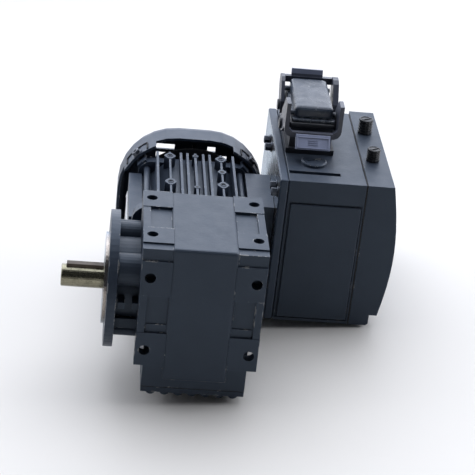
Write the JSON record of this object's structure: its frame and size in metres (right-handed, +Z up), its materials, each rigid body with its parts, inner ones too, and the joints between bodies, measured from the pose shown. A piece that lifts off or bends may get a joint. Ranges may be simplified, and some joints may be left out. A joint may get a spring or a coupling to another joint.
{
  "type": "right-angle gearmotor",
  "caption": "Right-angle gearmotor with a flanged keyed output shaft, finned motor with fan cowl, and a side electronics box with a lever-locked connector.",
  "frame": {"origin": "centre of the output shaft's end face", "axes": "-X out of the output shaft, +Z up out of the top foot pads, -Y out of the front foot pads; the motor lies along +Y"},
  "size_m": [0.3025, 0.3, 0.2105],
  "materials": {
    "gear_housing": "grey paint on die-cast aluminium",
    "bottom_cover": "grey paint on die-cast aluminium",
    "output_flange": "grey paint on die-cast aluminium",
    "end_cap": "grey paint on die-cast aluminium",
    "motor_front_plate": "grey paint on die-cast aluminium",
    "rear_end_shield": "grey paint on die-cast aluminium",
    "box_plate": "grey paint on die-cast aluminium",
    "box_body": "grey paint on die-cast aluminium",
    "motor_housing": "light grey paint on die-cast aluminium",
    "box_cover": "grey paint on die-cast aluminium",
    "fan_cowl": "grey moulded plastic",
    "bottom_gasket": "black rubber",
    "box_gasket": "black rubber",
    "shaft_seal": "black rubber",
    "output_shaft": "machined steel",
    "shaft_key": "machined steel",
    "crown_wheel": "machined steel",
    "pinion": "machined steel",
    "motor_shaft": "machined steel",
    "output_bearing_front": "machined steel",
    "output_bearing_rear": "machined steel",
    "motor_bearing_front": "machined steel",
    "motor_bearing_rear": "machined steel",
    "rotor_core": "laminated steel",
    "stator_core": "laminated steel",
    "winding_head_front": "lacquered copper winding",
    "winding_head_rear": "lacquered copper winding",
    "fan": "black plastic",
    "tie_rod_1": "zinc-plated steel",
    "tie_rod_2": "zinc-plated steel",
    "tie_rod_3": "zinc-plated steel",
    "tie_rod_4": "zinc-plated steel",
    "cowl_screw_1": "zinc-plated steel",
    "cowl_screw_2": "zinc-plated steel",
    "cowl_screw_3": "zinc-plated steel",
    "cowl_screw_4": "zinc-plated steel",
    "plate_screw_1": "zinc-plated steel",
    "plate_screw_2": "zinc-plated steel",
    "plate_screw_3": "zinc-plated steel",
    "plate_screw_4": "zinc-plated steel",
    "rating_plate": "bare aluminium, blank",
    "circuit_board": "green board",
    "terminal_block": "light grey plastic",
    "connector_insert": "light grey plastic",
    "connector_base": "dark grey plastic",
    "lever_front": "dark grey plastic",
    "lever_rear": "dark grey plastic",
    "connector_hood": "light grey moulded plastic",
    "blind_plug": "dark grey plastic",
    "screw_cap_1": "dark grey plastic",
    "screw_cap_2": "dark grey plastic"
  },
  "bodies": {
    "frame": {"gear_housing": "gear_housing", "bottom_cover": "bottom_cover", "output_flange": "output_flange", "end_cap": "end_cap", "motor_front_plate": "motor_front_plate", "rear_end_shield": "rear_end_shield", "box_plate": "box_plate", "box_body": "box_body", "motor_housing": "motor_housing", "box_cover": "box_cover", "fan_cowl": "fan_cowl", "bottom_gasket": "bottom_gasket", "box_gasket": "box_gasket", "shaft_seal": "shaft_seal", "output_bearing_front": "output_bearing_front", "output_bearing_rear": "output_bearing_rear", "motor_bearing_front": "motor_bearing_front", "motor_bearing_rear": "motor_bearing_rear", "stator_core": "stator_core", "winding_head_front": "winding_head_front", "winding_head_rear": "winding_head_rear", "tie_rod_1": "tie_rod_1", "tie_rod_2": "tie_rod_2", "tie_rod_3": "tie_rod_3", "tie_rod_4": "tie_rod_4", "cowl_screw_1": "cowl_screw_1", "cowl_screw_2": "cowl_screw_2", "cowl_screw_3": "cowl_screw_3", "cowl_screw_4": "cowl_screw_4", "plate_screw_1": "plate_screw_1", "plate_screw_2": "plate_screw_2", "plate_screw_3": "plate_screw_3", "plate_screw_4": "plate_screw_4", "rating_plate": "rating_plate", "circuit_board": "circuit_board", "terminal_block": "terminal_block", "connector_insert": "connector_insert", "connector_base": "connector_base", "connector_hood": "connector_hood", "blind_plug": "blind_plug", "screw_cap_1": "screw_cap_1", "screw_cap_2": "screw_cap_2"},
    "rotor": {"motor_shaft": "motor_shaft", "pinion": "pinion", "rotor_core": "rotor_core", "fan": "fan"},
    "output": {"output_shaft": "output_shaft", "shaft_key": "shaft_key", "crown_wheel": "crown_wheel"},
    "front_lever": {"lever_front": "lever_front"},
    "rear_lever": {"lever_rear": "lever_rear"}
  },
  "joints": [
    {"name": "motor_spin", "type": "hinge", "parent": "frame", "child": "rotor", "pos_m": [0.117, 0, -0.011], "axis": [0, 1, 0], "continuous": true},
    {"name": "output_spin", "type": "hinge", "parent": "frame", "child": "output", "pos_m": [0, 0, 0], "axis": [1, 0, 0], "continuous": true},
    {"name": "front_lever_swing", "type": "hinge", "parent": "frame", "child": "front_lever", "pos_m": [0.2205, 0.148, 0.095], "axis": [-1, 0, 0], "range_deg": [0, 45]},
    {"name": "rear_lever_swing", "type": "hinge", "parent": "frame", "child": "rear_lever", "pos_m": [0.2205, 0.193, 0.095], "axis": [-1, 0, 0], "range_deg": [0, 60]}
  ],
  "couplings": [
    {"joint": "output_spin", "follows": "motor_spin", "ratio": -0.23529}
  ]
}
